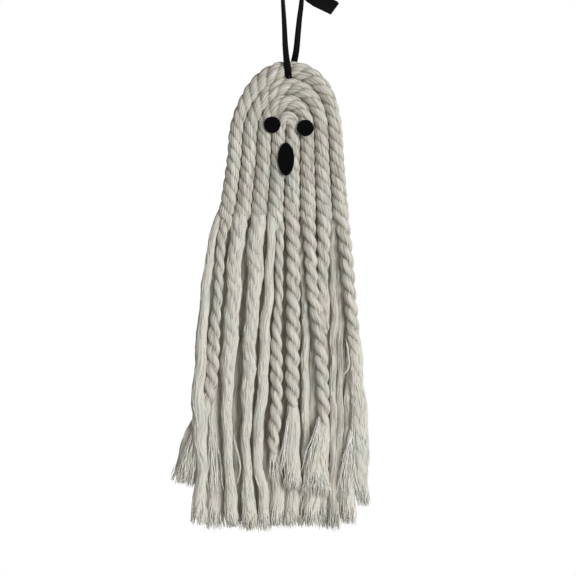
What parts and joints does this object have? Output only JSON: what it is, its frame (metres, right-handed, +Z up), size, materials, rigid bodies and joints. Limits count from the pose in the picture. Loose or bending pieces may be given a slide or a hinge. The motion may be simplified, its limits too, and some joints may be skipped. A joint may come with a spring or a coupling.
{
  "type": "rope ghost decoration",
  "caption": "Hanging ghost of nested cotton rope arches glued side by side, with free frayed rope ends as its skirt, a felt face and a ribbon loop to hang it by.",
  "frame": {"origin": "the point inside the top of the ribbon loop that bears on a hook", "axes": "+Z up, -Y the way the face looks, +X to the right seen from the front"},
  "size_m": [0.1063, 0.0157, 0.318],
  "materials": {
    "cotton_rope": "matte undyed cotton yarn, twisted in three strands",
    "black_felt": "matte pressed felt",
    "black_ribbon": "close-woven ribbon with a faint sheen",
    "hot_glue": "set hot-melt glue, satin and cloudy"
  },
  "bodies": {
    "root": {"rope_outer": "cotton_rope", "rope_second": "cotton_rope", "rope_third": "cotton_rope", "rope_inner": "cotton_rope", "left_eye": "black_felt", "right_eye": "black_felt", "mouth": "black_felt", "hanging_ribbon": "black_ribbon", "ribbon_knot": "black_ribbon", "glue_seam_outer_left": "hot_glue", "glue_seam_outer_right": "hot_glue", "glue_seam_second": "hot_glue", "glue_seam_third": "hot_glue", "glue_seam_middle": "hot_glue"}
  },
  "joints": []
}
